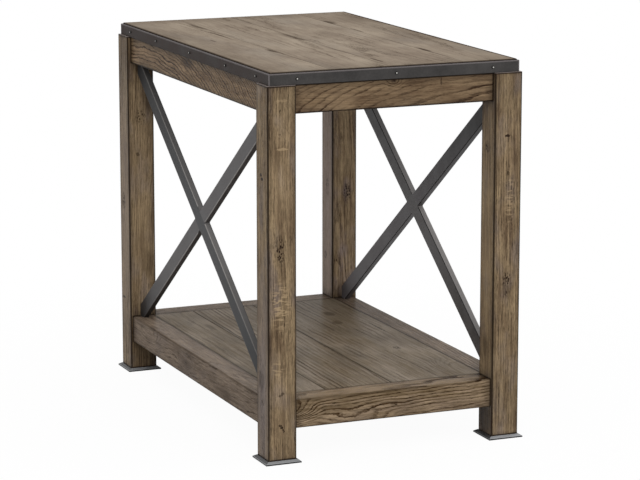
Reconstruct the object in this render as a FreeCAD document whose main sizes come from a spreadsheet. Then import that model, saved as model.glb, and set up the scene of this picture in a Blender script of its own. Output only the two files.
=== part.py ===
import FreeCAD, Part
import math
import os
import re
import Sketcher

# A rustic side table: four square wooden legs on iron foot plates, a planked top in an
# iron band, a planked shelf, and an iron cross brace on each long side. Nothing moves.
# +X runs to the right along the short front, +Y runs to the back and +Z is up.
# The origin is on the floor, under the middle of the table.

document = FreeCAD.newDocument("SideTable")
sheet = document.addObject("Spreadsheet::Sheet", "Sizes")

DRIVING_SIZES = {
    # Whole table, over the legs
    "table_height": 610,
    "frame_width": 430,
    "frame_depth": 694,
    # Legs
    "leg_side": 47,
    "leg_chamfer": 1.5,
    # Foot plates, each a thin square with a sloping rim round the leg
    "plate_overhang": 6,
    "plate_height": 5,
    "plate_edge": 2,
    "plate_margin": 1,
    # Top: iron band on the legs, planks standing above it
    "band_inset": 4,
    "band_thick": 3,
    "band_height": 18,
    "band_chamfer": 0.5,
    "top_rise": 2,
    # Planks of the top and of the shelf
    "shelf_board_thick": 15,
    "tongue_thick": 5,
    "tongue_length": 6,
    "tongue_play": 0.5,
    "board_bevel": 0.8,
    # Aprons under the top
    "apron_inset": 7,
    "apron_height": 45,
    "apron_thick": 20,
    "apron_chamfer": 1,
    # Rails round the shelf
    "shelf_top": 98,
    "rail_inset": 4.5,
    "rail_height": 45,
    "side_rail_width": 38,
    "rail_round": 3.5,
    "rail_chamfer": 1,
    "rail_tenon_setback": 10,
    # Mortise and tenon joints
    "tenon_thick": 8,
    "tenon_length": 22,
    "tenon_shoulder": 6,
    "mortise_play": 1,
    # Battens under the planks and blocks in the corners of the aprons
    "batten_width": 40,
    "batten_thick": 18,
    "batten_housing": 6,
    "top_batten_setback": 150,
    "shelf_batten_setback": 40,
    "block_reach": 45,
    "block_screw_inset": 5.5,
    # Cross braces of flat iron bar
    "brace_width": 26,
    "brace_thick": 10,
    "brace_gap": 5,
    "brace_chamfer": 0.8,
    # Steel pins that hold the ends of the braces in the legs
    "pin_radius": 2,
    "pin_length": 20,
    # Round-headed nails that hold the band
    "nail_radius": 1.1,
    "nail_length": 15,
    "nail_head_radius": 2.2,
    "front_nail_inset": 50,
    "side_nail_inset": 56,
    # Screws through the foot plates
    "foot_screw_radius": 1.75,
    "foot_screw_length": 25,
    "foot_head_radius": 3.5,
    "foot_head_height": 2,
    "foot_screw_spread": 11,
    # Screws up through battens and blocks into the planks
    "wood_screw_radius": 2,
    "wood_screw_length": 28,
    "wood_head_radius": 4,
    "wood_head_height": 2.5,
    # Room round every pin, nail and screw, and how far a screw head is sunk
    "bore_play": 0.15,
    "head_sink": 0.3,
}

# Sizes that follow from the driving ones
FOLLOWING_SIZES = {
    "leg_top": "table_height - band_height - top_rise",
    "front_run": "frame_width - 2 * leg_side",
    "side_run": "frame_depth - 2 * leg_side",
    "apron_bottom": "leg_top - apron_height",
    "rail_bottom": "shelf_top - rail_height",
    "end_rail_width": "leg_side - rail_inset",
    "top_thick": "band_height + top_rise",
    "top_width": "frame_width - 2 * (band_inset + band_thick)",
    "top_depth": "frame_depth - 2 * (band_inset + band_thick)",
    "shelf_width": "frame_width - 2 * (rail_inset + side_rail_width)",
    "mortise_depth": "tenon_length + mortise_play",
    "top_batten_reach": "side_run / 2 - top_batten_setback",
    "shelf_batten_reach": "side_run / 2 - shelf_batten_setback",
    "brace_height": "apron_bottom - shelf_top",
    "brace_slope": "(brace_height - 2 * brace_gap) / side_run",
    "brace_half": "brace_width / 2 * sqrt(1 + brace_slope ^ 2)",
    "brace_foot": "(brace_half - brace_gap) / brace_slope",
    "pin_rise": "(brace_gap + brace_half) / 2",
}

# Planks from left to right, as shares of the width that they fill
TOP_BOARD_SHARES = (0.240, 0.236, 0.304, 0.220)
SHELF_BOARD_SHARES = (0.21, 0.33, 0.46)
# Nails of a long side between its end nails, as shares of their distance from the middle
SIDE_NAIL_SHARES = (-1, -0.555, 0, 0.555, 1)
FRONT_NAIL_SHARES = (-1, 0, 1)

# A quarter turn for each side of the table, with the front unturned
SIDE_TURNS = {"front": 0, "right": 90, "back": 180, "left": 270}
CORNER_TURNS = {"front_left": 0, "front_right": 90, "back_right": 180, "back_left": 270}

for row, (alias, value) in enumerate({**DRIVING_SIZES, **FOLLOWING_SIZES}.items(), 1):
    sheet.set(f"A{row}", alias)
    sheet.set(f"B{row}", f"={value}" if alias in FOLLOWING_SIZES else str(value))
    sheet.setAlias(f"B{row}", alias)
document.recompute()


def sized(text):
    """Turns each name of a size in an expression into that cell of the sheet."""
    def cell(found):
        name = found.group()
        known = name in DRIVING_SIZES or name in FOLLOWING_SIZES
        return f"Sizes.{name}" if known else name
    return re.sub(r"[a-z]+(?:_[a-z]+)*", cell, text)


def origin_plane(body, role):
    return next(feature for feature in body.Origin.OriginFeatures if feature.Role == role)


def sketch_loops(body, name, role, loops, offset="0"):
    """Draws closed loops of straight lines, each corner held by two distances."""
    sketch = body.newObject("Sketcher::SketchObject", name)
    sketch.AttachmentSupport = [(origin_plane(body, role), "")]
    sketch.MapMode = "FlatFace"
    sketch.setExpression("AttachmentOffset.Base.z", sized(offset))
    for corners in loops:
        first = sketch.GeometryCount
        count = len(corners)
        turns = [2 * math.pi * index / count for index in range(count)]
        points = [FreeCAD.Vector(math.cos(turn), math.sin(turn), 0) for turn in turns]
        for index, point in enumerate(points):
            sketch.addGeometry(Part.LineSegment(point, points[(index + 1) % count]), False)
        for index in range(count):
            following = first + (index + 1) % count
            sketch.addConstraint(Sketcher.Constraint("Coincident", first + index, 2, following, 1))
        for index, (across, up) in enumerate(corners):
            start = points[index]
            for kind, text, guess in (("DistanceX", across, start.x), ("DistanceY", up, start.y)):
                held = Sketcher.Constraint(kind, -1, 1, first + index, 1, guess)
                number = sketch.addConstraint(held)
                sketch.setExpression(f"Constraints[{number}]", sized(text))
    return sketch


def rectangle(left, right, bottom, top):
    return [(left, bottom), (right, bottom), (right, top), (left, top)]


def pad(body, sketch, name, length, reverse=False):
    feature = body.newObject("PartDesign::Pad", name)
    feature.Profile = sketch
    feature.setExpression("Length", sized(length))
    feature.Reversed = reverse
    document.recompute()
    return feature


def pocket(body, sketch, name, length, reverse=False):
    """Cuts a sketch into the body, and stops if nothing was cut away."""
    before = body.Shape.Volume
    feature = body.newObject("PartDesign::Pocket", name)
    feature.Profile = sketch
    feature.setExpression("Length", sized(length))
    feature.Reversed = reverse
    document.recompute()
    if body.Shape.Volume >= before:
        raise ValueError(f"{body.Label}: {name} cuts nothing")
    return feature


# An edge counts as along an axis when this much of its unit direction lies along it, and as
# sloping between two axes when at least the smaller share lies along each
ALONG_SHARE = 0.9
SLOPING_SHARE = 0.1


def edges_where(feature, wanted):
    """Names the straight edges of a feature whose middle and direction are wanted."""
    named = []
    for index, edge in enumerate(feature.Shape.Edges, 1):
        direction = edge.tangentAt(edge.FirstParameter)
        if wanted(edge.CenterOfMass, direction):
            named.append(f"Edge{index}")
    return named


def chamfer(body, base, edges, name, width):
    feature = body.newObject("PartDesign::Chamfer", name)
    feature.Base = (base, edges)
    feature.setExpression("Size", sized(width))
    document.recompute()
    return feature


def place(piece, across, along, up, turn=0):
    """Sets a piece down at a place in the table, turned about the upright axis."""
    upright = FreeCAD.Vector(0, 0, 1)
    piece.Placement = FreeCAD.Placement(FreeCAD.Vector(), FreeCAD.Rotation(upright, turn))
    for axis, text in zip("xyz", (across, along, up)):
        piece.setExpression(f"Placement.Base.{axis}", sized(text))


def turned(across, along, turn):
    """Turns a place about the middle of the table by quarter turns."""
    return {
        0: (across, along),
        90: (f"-({along})", across),
        180: (f"-({across})", f"-({along})"),
        270: (along, f"-({across})"),
    }[turn]


def place_on_side(piece, side, length, inset, up):
    """Sets a piece along one side, its own X along the side and its own Y inwards."""
    span = "frame_depth" if side in ("front", "back") else "frame_width"
    turn = SIDE_TURNS[side]
    across, along = turned(f"-({length}) / 2", f"{inset} - {span} / 2", turn)
    place(piece, across, along, up, turn)


def place_in_corner(piece, corner, across_inset, along_inset, up):
    """Sets a piece in one corner, its own X and Y both running inwards from there."""
    turn = CORNER_TURNS[corner]
    odd = turn in (90, 270)
    width, depth = ("frame_depth", "frame_width") if odd else ("frame_width", "frame_depth")
    across, along = turned(f"{across_inset} - {width} / 2", f"{along_inset} - {depth} / 2", turn)
    place(piece, across, along, up, turn)


def new_body(name):
    return document.addObject("PartDesign::Body", name)


finished = {}


def finish(name, piece, bores=None):
    """Names a sub-part, after boring it where pins, nails or screws pass through."""
    if bores is not None:
        blank = piece
        piece = document.addObject("Part::Cut", name)
        piece.Base = blank
        piece.Tool = bores
    piece.Label = name
    finished[name] = piece


# Pins, nails and screws. Each kind is made twice: once at its own size, and once with the
# room round it that it needs, which cuts its bores in the pieces that it passes through.

def cylinder(name, radius, length):
    solid = document.addObject("Part::Cylinder", name)
    solid.setExpression("Radius", sized(radius))
    solid.setExpression("Height", sized(length))
    return solid


def cone(name, start_radius, end_radius, length, up):
    solid = document.addObject("Part::Cone", name)
    solid.setExpression("Radius1", sized(start_radius))
    solid.setExpression("Radius2", sized(end_radius))
    solid.setExpression("Height", sized(length))
    solid.setExpression("Placement.Base.z", sized(up))
    return solid


def joined(name, solids):
    whole = document.addObject("Part::MultiFuse", name)
    whole.Shapes = solids
    return whole


def countersunk_screw(name, kind, play="0"):
    """A screw along +Z: a flat head that narrows to the shank, and a tip as long as it is thick."""
    radius = f"{kind}_screw_radius + {play}"
    length = f"{kind}_screw_length + {play}"
    taper = f"2 * ({radius})"
    head = cone(f"{name}Head", f"{kind}_head_radius + {play}", radius, f"{kind}_head_height", "0")
    shank = cylinder(f"{name}Shank", radius, f"{length} - {taper}")
    tip = cone(f"{name}Tip", radius, "0", taper, f"{length} - {taper}")
    return joined(name, [head, shank, tip])


def nail(name, play="0"):
    """A nail along +Z with a half-round head that bears on the plane at zero."""
    shank = cylinder(f"{name}Shank", f"nail_radius + {play}", f"nail_length + {play}")
    if play != "0":
        return shank
    head = document.addObject("Part::Sphere", f"{name}Head")
    head.setExpression("Radius", sized("nail_head_radius"))
    head.Angle1 = -90
    head.Angle2 = 0
    return joined(name, [head, shank])


def copies(name, master, places):
    """Repeats one solid at each place, with its +Z turned to the direction given there."""
    upright = FreeCAD.Vector(0, 0, 1)
    links = []
    for number, (across, along, up, direction) in enumerate(places, 1):
        link = document.addObject("App::Link", f"{name}_{number}")
        link.LinkedObject = master
        rotation = FreeCAD.Rotation(upright, FreeCAD.Vector(*direction))
        link.Placement = FreeCAD.Placement(FreeCAD.Vector(), rotation)
        for axis, text in zip("xyz", (across, along, up)):
            link.setExpression(f"Placement.Base.{axis}", sized(text))
        links.append(link)
    group = document.addObject("Part::Compound", name)
    group.Links = links
    return group


def share_middles(shares, width):
    """The middle of each plank across the table, for planks side by side."""
    starts = [sum(shares[:index]) for index in range(len(shares))]
    middles = [start + share / 2 - 1 / 2 for start, share in zip(starts, shares)]
    return [f"{middle:.4f} * {width}" for middle in middles]


UPWARDS = (0, 0, 1)
SIGNS = ("-", "")

foot_screw_places = [
    (f"{a}(frame_width - leg_side) / 2 {c} foot_screw_spread",
     f"{b}(frame_depth - leg_side) / 2", "head_sink", UPWARDS)
    for a in SIGNS for b in SIGNS for c in ("-", "+")]

batten_screw_up = "leg_top - batten_thick + head_sink"
block_screw = "(leg_side + block_screw_inset)"
top_screw_places = [
    (across, f"{b}top_batten_reach", batten_screw_up, UPWARDS)
    for across in share_middles(TOP_BOARD_SHARES, "top_width") for b in SIGNS]
top_screw_places += [
    (f"{a}(frame_width / 2 - {block_screw})",
     f"{b}(frame_depth / 2 - {block_screw})", batten_screw_up, UPWARDS)
    for a in SIGNS for b in SIGNS]

shelf_screw_places = [
    (across, f"{share} * shelf_batten_reach",
     "shelf_top - shelf_board_thick - batten_thick + head_sink", UPWARDS)
    for across in share_middles(SHELF_BOARD_SHARES, "shelf_width") for share in (-1, 0, 1)]

nail_up = "leg_top + band_height / 2"
nail_places = []
for share in FRONT_NAIL_SHARES:
    across = f"{share} * (frame_width / 2 - front_nail_inset)"
    nail_places.append((across, "band_inset - frame_depth / 2", nail_up, (0, 1, 0)))
    nail_places.append((across, "frame_depth / 2 - band_inset", nail_up, (0, -1, 0)))
for share in SIDE_NAIL_SHARES:
    along = f"{share} * (frame_depth / 2 - side_nail_inset)"
    nail_places.append(("band_inset - frame_width / 2", along, nail_up, (1, 0, 0)))
    nail_places.append(("frame_width / 2 - band_inset", along, nail_up, (-1, 0, 0)))

pin_places = [
    (f"{a}(frame_width - leg_side) / 2", f"{b}(side_run / 2) - pin_length / 2", up, (0, 1, 0))
    for a in SIGNS for b in SIGNS
    for up in ("shelf_top + pin_rise", "apron_bottom - pin_rise")]

foot_screws = copies("foot_screws", countersunk_screw("FootScrew", "foot"), foot_screw_places)
top_screws = copies("top_screws", countersunk_screw("TopScrew", "wood"), top_screw_places)
shelf_screws = copies("shelf_screws", countersunk_screw("ShelfScrew", "wood"), shelf_screw_places)
band_nails = copies("band_nails", nail("BandNail"), nail_places)
brace_pins = copies("brace_pins", cylinder("BracePin", "pin_radius", "pin_length"), pin_places)
for group in (foot_screws, top_screws, shelf_screws, band_nails, brace_pins):
    finish(group.Name, group)

foot_bores = copies(
    "FootBores", countersunk_screw("FootBore", "foot", "bore_play"), foot_screw_places)
top_bores = copies(
    "TopBores", countersunk_screw("TopBore", "wood", "bore_play"), top_screw_places)
shelf_bores = copies(
    "ShelfBores", countersunk_screw("ShelfBore", "wood", "bore_play"), shelf_screw_places)
nail_bores = copies("NailBores", nail("NailBore", "bore_play"), nail_places)
pin_bores = copies(
    "PinBores", cylinder("PinBore", "pin_radius + bore_play", "pin_length"), pin_places)
leg_bores = document.addObject("Part::Compound", "LegBores")
leg_bores.Links = [foot_bores, pin_bores]
board_bores = document.addObject("Part::Compound", "BoardBores")
board_bores.Links = [top_bores, nail_bores]
document.recompute()


# Legs: square posts with chamfered arrises, each with two mortises for the aprons and two
# for the shelf rails, in the two faces that look along the table.

def leg(corner):
    body = new_body(f"{corner}_leg_blank")
    section = sketch_loops(
        body, "Section", "XY_Plane", [rectangle("0", "leg_side", "0", "leg_side")])
    post = pad(body, section, "Post", "leg_top - plate_height")
    arrises = edges_where(post, lambda middle, direction: abs(direction.z) > ALONG_SHARE)
    chamfer(body, post, arrises, "Arrises", "leg_chamfer")
    apron_cheek = "apron_inset + (apron_thick - tenon_thick) / 2"
    rail_cheek = "rail_inset + rail_tenon_setback"
    mortises = [
        rectangle(apron_cheek, f"{apron_cheek} + tenon_thick",
                  "apron_bottom + tenon_shoulder - plate_height",
                  "leg_top - tenon_shoulder - plate_height"),
        rectangle(rail_cheek, f"{rail_cheek} + tenon_thick",
                  "rail_bottom + tenon_shoulder - plate_height",
                  "shelf_top - tenon_shoulder - plate_height"),
    ]
    inner = sketch_loops(body, "MortisesAcross", "YZ_Plane", mortises, "leg_side")
    pocket(body, inner, "MortisePocketsAcross", "mortise_depth")
    inner = sketch_loops(body, "MortisesAlong", "XZ_Plane", mortises, "-leg_side")
    pocket(body, inner, "MortisePocketsAlong", "mortise_depth", reverse=True)
    place_in_corner(body, corner, "0", "0", "plate_height")
    finish(f"{corner}_leg", body, leg_bores)


# Foot plates: cast iron squares under the legs, sloping up from a thin edge to the leg.

def foot_plate(corner):
    body = new_body(f"{corner}_foot_plate_blank")
    half = "(leg_side / 2 + plate_overhang)"
    section = sketch_loops(
        body, "Section", "XY_Plane", [rectangle(f"-{half}", half, f"-{half}", half)])
    slab = pad(body, section, "Slab", "plate_height")
    height = slab.Shape.BoundBox.ZMax
    rim = edges_where(slab, lambda middle, direction: math.isclose(middle.z, height))
    slope = body.newObject("PartDesign::Chamfer", "SlopingRim")
    slope.Base = (slab, rim)
    slope.ChamferType = "Two distances"
    slope.setExpression("Size", sized("plate_height - plate_edge"))
    slope.setExpression("Size2", sized("plate_overhang - plate_margin"))
    document.recompute()
    place_in_corner(body, corner, "leg_side / 2", "leg_side / 2", "0")
    finish(f"{corner}_foot_plate", body, foot_bores)


# Aprons and shelf rails: straight bars between the legs, with a tenon at each end. The
# tenons are the ends of one bar that runs right through the piece.

def tenoned_bar(name, run, width, height, tenon_start):
    body = new_body(f"{name}_blank")
    section = sketch_loops(body, "Section", "XY_Plane", [rectangle("0", run, "0", width)])
    pad(body, section, "Bar", height)
    tenon = rectangle(tenon_start, f"{tenon_start} + tenon_thick",
                      "tenon_shoulder", f"{height} - tenon_shoulder")
    section = sketch_loops(body, "TenonSection", "YZ_Plane", [tenon], "-tenon_length")
    return body, pad(body, section, "Tenons", f"{run} + 2 * tenon_length")


def housings(body, run, width, bottom, top, reaches):
    """Cuts the seats of the batten ends into the inner face of a side piece."""
    seats = [rectangle(f"{run} / 2 + {reach} - batten_width / 2",
                       f"{run} / 2 + {reach} + batten_width / 2", bottom, top)
             for reach in reaches]
    sketch = sketch_loops(body, "Seats", "XZ_Plane", seats, f"-{width}")
    pocket(body, sketch, "BattenSeats", "batten_housing", reverse=True)


def apron(side):
    ends = side in ("front", "back")
    run = "front_run" if ends else "side_run"
    body, bar = tenoned_bar(
        f"{side}_apron", run, "apron_thick", "apron_height", "(apron_thick - tenon_thick) / 2")
    lower = edges_where(bar, lambda middle, direction: (
        abs(direction.x) > ALONG_SHARE and middle.z == 0))
    chamfer(body, bar, lower, "LowerArrises", "apron_chamfer")
    if not ends:
        housings(body, run, "apron_thick", "apron_height - batten_thick", "apron_height",
                 ("-top_batten_reach", "top_batten_reach"))
    place_on_side(body, side, run, "apron_inset", "apron_bottom")
    finish(f"{side}_apron", body)


def shelf_rail(side):
    ends = side in ("front", "back")
    run = "front_run" if ends else "side_run"
    width = "end_rail_width" if ends else "side_rail_width"
    body, bar = tenoned_bar(f"{side}_shelf_rail", run, width, "rail_height", "rail_tenon_setback")
    height = bar.Shape.BoundBox.ZMax
    outer = edges_where(bar, lambda middle, direction: (
        abs(direction.x) > ALONG_SHARE and middle.y == 0 and math.isclose(middle.z, height)))
    rounding = body.newObject("PartDesign::Fillet", "RoundedArris")
    rounding.Base = (bar, outer)
    rounding.setExpression("Radius", sized("rail_round"))
    document.recompute()
    lower = edges_where(rounding, lambda middle, direction: (
        abs(direction.x) > ALONG_SHARE and middle.z == 0))
    chamfer(body, rounding, lower, "LowerArrises", "rail_chamfer")
    if not ends:
        seat_top = "rail_height - shelf_board_thick"
        housings(body, run, width, f"{seat_top} - batten_thick", seat_top,
                 ("-shelf_batten_reach", "0", "shelf_batten_reach"))
    place_on_side(body, side, run, "rail_inset", "rail_bottom")
    finish(f"{side}_shelf_rail", body)


# Corner blocks: cut round the leg and glued into the corner of two aprons, screwed to the
# top from below.

def corner_block(corner):
    body = new_body(f"{corner}_corner_block_blank")
    inside = "apron_inset + apron_thick"
    shape = [("leg_side", "leg_side"), (inside, "leg_side"), (inside, "leg_side + block_reach"),
             ("leg_side + block_reach", inside), ("leg_side", inside)]
    section = sketch_loops(body, "Section", "XY_Plane", [shape])
    pad(body, section, "Block", "batten_thick")
    place_in_corner(body, corner, "0", "0", "leg_top - batten_thick")
    finish(f"{corner}_corner_block", body, top_bores)


# Battens: flat bars across the table under the planks, their ends let into the side pieces.

def batten(name, reach, clear_width, up, bores):
    body = new_body(f"{name}_blank")
    half_length = f"({clear_width} / 2 + batten_housing)"
    bar = rectangle(f"-{half_length}", half_length, "-batten_width / 2", "batten_width / 2")
    section = sketch_loops(body, "Section", "XY_Plane", [bar])
    pad(body, section, "Bar", "batten_thick")
    place(body, "0", reach, up)
    finish(name, body, bores)


# Planks: boards along the table, joined edge to edge by tongues and grooves, with a small
# bevel round the upper edges.

def boards(name, shares, width, depth, thick, up, bores):
    low = f"({thick} - tongue_thick) / 2"
    high = f"({thick} + tongue_thick) / 2"
    groove = "tongue_length + tongue_play"
    for index, share in enumerate(shares):
        label = f"{name}_{index + 1}"
        own_width = f"{share} * {width}"
        shape = [("0", "0"), (own_width, "0")]
        if index < len(shares) - 1:
            tip = f"{own_width} + tongue_length"
            shape += [(own_width, low), (tip, low), (tip, high), (own_width, high)]
        shape += [(own_width, f"{thick} - board_bevel"), (f"{own_width} - board_bevel", thick),
                  ("board_bevel", thick), ("0", f"{thick} - board_bevel")]
        if index > 0:
            shape += [("0", high), (groove, high), (groove, low), ("0", low)]
        body = new_body(f"{label}_blank")
        section = sketch_loops(body, "Section", "XZ_Plane", [shape])
        board = pad(body, section, "Board", depth, reverse=True)
        top = board.Shape.BoundBox.ZMax
        ends = edges_where(board, lambda middle, direction, top=top: (
            abs(direction.x) > ALONG_SHARE and math.isclose(middle.z, top)))
        chamfer(body, board, ends, "EndBevels", "board_bevel")
        start = sum(shares[:index]) - 1 / 2
        place(body, f"{start:.4f} * {width}", f"-{depth} / 2", up)
        finish(label, body, bores)


# Iron band: four flat strips, mitred at the corners and nailed to the edges of the planks.

def band_strip(side):
    span = "frame_width" if side in ("front", "back") else "frame_depth"
    length = f"{span} - 2 * band_inset"
    body = new_body(f"{side}_band_strip_blank")
    shape = [("0", "0"), (length, "0"), (f"{length} - band_thick", "band_thick"),
             ("band_thick", "band_thick")]
    section = sketch_loops(body, "Section", "XY_Plane", [shape])
    strip = pad(body, section, "Strip", "band_height")
    outer = edges_where(strip, lambda middle, direction: (
        abs(direction.x) > ALONG_SHARE and middle.y == 0))
    chamfer(body, strip, outer, "OuterArrises", "band_chamfer")
    place_on_side(body, side, length, "band_inset", "leg_top")
    finish(f"{side}_band_strip", body, nail_bores)


# Cross braces: two flat bars in the middle of the leg's thickness, from the corner of leg
# and apron to the corner of leg and shelf rail. Their arrises are eased, except where they
# cross: there they are halved into each other and flush.

def brace_bar(side, high_end, climbs, lap_start):
    body = new_body(f"{side}_brace_bar_high_{high_end}_blank")
    shape = [("0", "0"), ("brace_foot", "0"),
             ("side_run", "brace_height - brace_gap - brace_half"),
             ("side_run", "brace_height"), ("side_run - brace_foot", "brace_height"),
             ("0", "brace_gap + brace_half")]
    if not climbs:
        shape = [(f"side_run - ({across})", up) for across, up in shape]
    section = sketch_loops(body, "Section", "XZ_Plane", [shape])
    bar = pad(body, section, "Bar", "brace_thick", reverse=True)
    arrises = edges_where(bar, lambda middle, direction: (
        min(abs(direction.x), abs(direction.z)) > SLOPING_SHARE))
    chamfer(body, bar, arrises, "Arrises", "brace_chamfer")
    middle = "brace_height / 2"
    reach = "brace_half / brace_slope"
    crossing = [("side_run / 2", f"{middle} - brace_half"), (f"side_run / 2 + {reach}", middle),
                ("side_run / 2", f"{middle} + brace_half"), (f"side_run / 2 - {reach}", middle)]
    sketch = sketch_loops(body, "Crossing", "XZ_Plane", [crossing])
    pad(body, sketch, "FlushCrossing", "brace_thick", reverse=True)
    sketch = sketch_loops(body, "Lap", "XZ_Plane", [crossing], f"-{lap_start}")
    pocket(body, sketch, "Halving", "brace_thick / 2")
    inset = "(leg_side - brace_thick) / 2"
    place_on_side(body, side, "side_run", inset, "shelf_top")
    finish(f"{side}_brace_bar_high_{high_end}", body, pin_bores)


for corner_name in CORNER_TURNS:
    leg(corner_name)
    foot_plate(corner_name)
    corner_block(corner_name)
for side_name in SIDE_TURNS:
    apron(side_name)
    shelf_rail(side_name)
    band_strip(side_name)

between_aprons = "(frame_width - 2 * (apron_inset + apron_thick))"
for batten_name, batten_reach in (("front", "-top_batten_reach"), ("back", "top_batten_reach")):
    batten(f"{batten_name}_top_batten", batten_reach, between_aprons,
           "leg_top - batten_thick", top_bores)
for batten_name, batten_reach in (
        ("front", "-shelf_batten_reach"), ("middle", "0"), ("back", "shelf_batten_reach")):
    batten(f"{batten_name}_shelf_batten", batten_reach, "shelf_width",
           "shelf_top - shelf_board_thick - batten_thick", shelf_bores)
boards("top_board", TOP_BOARD_SHARES, "top_width", "top_depth", "top_thick", "leg_top",
       board_bores)
boards("shelf_board", SHELF_BOARD_SHARES, "shelf_width", "side_run", "shelf_board_thick",
       "shelf_top - shelf_board_thick", shelf_bores)

brace_bar("left", "front", climbs=True, lap_start="0")
brace_bar("left", "back", climbs=False, lap_start="brace_thick / 2")
brace_bar("right", "back", climbs=True, lap_start="0")
brace_bar("right", "front", climbs=False, lap_start="brace_thick / 2")

document.recompute()
failed = [item.Label for item in document.Objects
          if "Invalid" in item.State or "Error" in item.State]
if failed:
    raise ValueError(f"failed: {failed}")

os.makedirs("parts", exist_ok=True)
for node, piece in finished.items():
    shape = piece.Shape
    if shape.isNull() or not shape.isValid() or not shape.Solids:
        raise ValueError(f"{node} has no valid shape")
    shape.exportStep(os.path.join("parts", f"{node}.step"))
    print(f"{node}: {len(shape.Solids)} solid(s), {shape.Volume / 1000:.1f} cm3")
print(f"{len(finished)} nodes")
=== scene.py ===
import functools
import math

import bpy
import numpy as np
from mathutils import Euler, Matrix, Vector


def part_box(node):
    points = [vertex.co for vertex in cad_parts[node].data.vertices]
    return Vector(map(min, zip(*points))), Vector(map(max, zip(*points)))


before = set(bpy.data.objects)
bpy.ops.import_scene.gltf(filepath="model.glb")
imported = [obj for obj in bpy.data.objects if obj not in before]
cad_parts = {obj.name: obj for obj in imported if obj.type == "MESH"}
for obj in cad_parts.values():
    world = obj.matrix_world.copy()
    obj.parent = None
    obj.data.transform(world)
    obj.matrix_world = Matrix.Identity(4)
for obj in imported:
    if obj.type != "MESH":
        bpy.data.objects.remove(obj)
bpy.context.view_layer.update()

# Legs: four square posts of solid oak, stained brown and rubbed with a dark glaze that stays
# in the pores, the knots and along the arrises. Each stands on an iron plate, and the aprons
# and shelf rails are tenoned into it.


def linear(code):
    """Turns an sRGB hex colour to linear light: v / 12.92, or ((v + 0.055) / 1.055) ** 2.4."""
    parts = np.array([int(code[index:index + 2], 16) for index in (1, 3, 5)]) / 255
    light = np.where(parts <= 0.04045, parts / 12.92, ((parts + 0.055) / 1.055) ** 2.4)
    return (*map(float, light), 1.0)


def scaled(colour, *factors):
    """A linear colour with its red, green and blue each multiplied by a factor."""
    return (*(value * factor for value, factor in zip(colour, factors)), 1.0)


def add(tree, kind, inputs=(), stops=(), **settings):
    """Adds a shader node with its settings, and sets or links its inputs. They are a row of
    values in the order of the sockets, or a dict by the names of the sockets."""
    made = tree.nodes.new("ShaderNode" + kind)
    for name, value in settings.items():
        setattr(made, name, value)
    for index, (place, value) in enumerate(stops):
        ramp = made.color_ramp.elements
        stop = ramp[index] if index < 2 else ramp.new(place)
        stop.position = place
        stop.color = (value, value, value, 1.0)
    for key, value in inputs.items() if isinstance(inputs, dict) else enumerate(inputs):
        sockets = [socket for socket in made.inputs if socket.enabled]
        if isinstance(key, str):
            sockets = [socket for socket in sockets if socket.name == key]
        socket = sockets[key if isinstance(key, int) else 0]
        if isinstance(value, bpy.types.Node):
            value = next(output for output in value.outputs if output.enabled)
        if isinstance(value, bpy.types.NodeSocket):
            tree.links.new(value, socket)
        else:
            socket.default_value = value
    return made


def new_material(name):
    """A material with no nodes yet, and add() bound to its node tree."""
    material = bpy.data.materials.new(name)
    material.use_nodes = True
    material.node_tree.nodes.clear()
    return material, functools.partial(add, material.node_tree)


def millimetres(put):
    """A point's own place on the object, times 1000."""
    return put("VectorMath", (put("TexCoord").outputs["Object"], 1000.0), operation="SCALE")


def in_cells(put, place, *cell):
    """A place divided by the three sides of a cell in mm, so that a pattern of scale 1 has
    features of about those sizes."""
    return put("VectorMath", (place, [1 / side for side in cell]), operation="MULTIPLY")


def shown_box(node):
    """The lowest and highest corner of what shows of a CAD node, in mm, less its tenons."""
    low, high = (corner * 1000 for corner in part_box(node))
    if node.endswith(("_apron", "_shelf_rail")):
        tenon = 22
        way = Vector((tenon, 0, 0) if node.startswith(("front", "back")) else (0, tenon, 0))
        low, high = low + way, high - way
    return low, high


def box_depth(put, point, low, high):
    """A point's three distances inwards from the planes of a box, negative outside it: half
    the box's size less the point's distance from its middle."""
    middle, half = (low + high) / 2, (high - low) / 2
    aside = put("VectorMath", (point, middle), operation="SUBTRACT")
    aside = put("VectorMath", (aside,), operation="ABSOLUTE")
    return put("VectorMath", (half, aside), operation="SUBTRACT")


def arris_distance(put, point, low, high):
    """How far a point on a box is from its nearest arris: the middle one of its three
    distances to the planes of the faces, found as the least of the larger ones of each pair."""
    x, y, z = put("SeparateXYZ", (box_depth(put, point, low, high),)).outputs
    pairs = [put("Math", pair, operation="MAXIMUM") for pair in ((x, y), (y, z), (x, z))]
    nearest = put("Math", pairs[:2], operation="MINIMUM")
    return put("Math", (nearest, pairs[2]), operation="MINIMUM")


def corner_distance(put, point, neighbours):
    """How far a point is from the nearest of some other pieces: the length of the part of
    its offset that lies outside each one's box."""
    nearest = 1000.0  # More than any distance on the table
    for node in neighbours:
        outside = put("VectorMath", (box_depth(put, point, *shown_box(node)), (0, 0, 0)),
                      operation="MINIMUM")
        gap = put("VectorMath", (outside,), operation="LENGTH").outputs["Value"]
        nearest = put("Math", (gap, nearest), operation="MINIMUM")
    return nearest


# How a board is turned to stand upright, by the axis that its length lies along
GRAIN_TURN = {
    "z": Euler((0, 0, 0)),
    "y": Euler((math.pi / 2, 0, 0)),
    "x": Euler((0, -math.pi / 2, 0)),
}
# The share of a mark, from its middle out, that has the mark's full strength
MARK_CORE = {"knot": 0.0, "grey": 0.0, "crack": 0.7, "fleck": 0.7, "stain": 0.3,
             "wear_and_painted_light": 0.3, "pits": 0.3, "flecks": 0.3}
# How dark the early wood is at some distances in mm from where its ring starts
EARLY_WOOD = ((0.0, 0.0), (0.3, 1.0), (1.3, 0.9), (2.0, 0.3), (3.0, 0.0))


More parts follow.
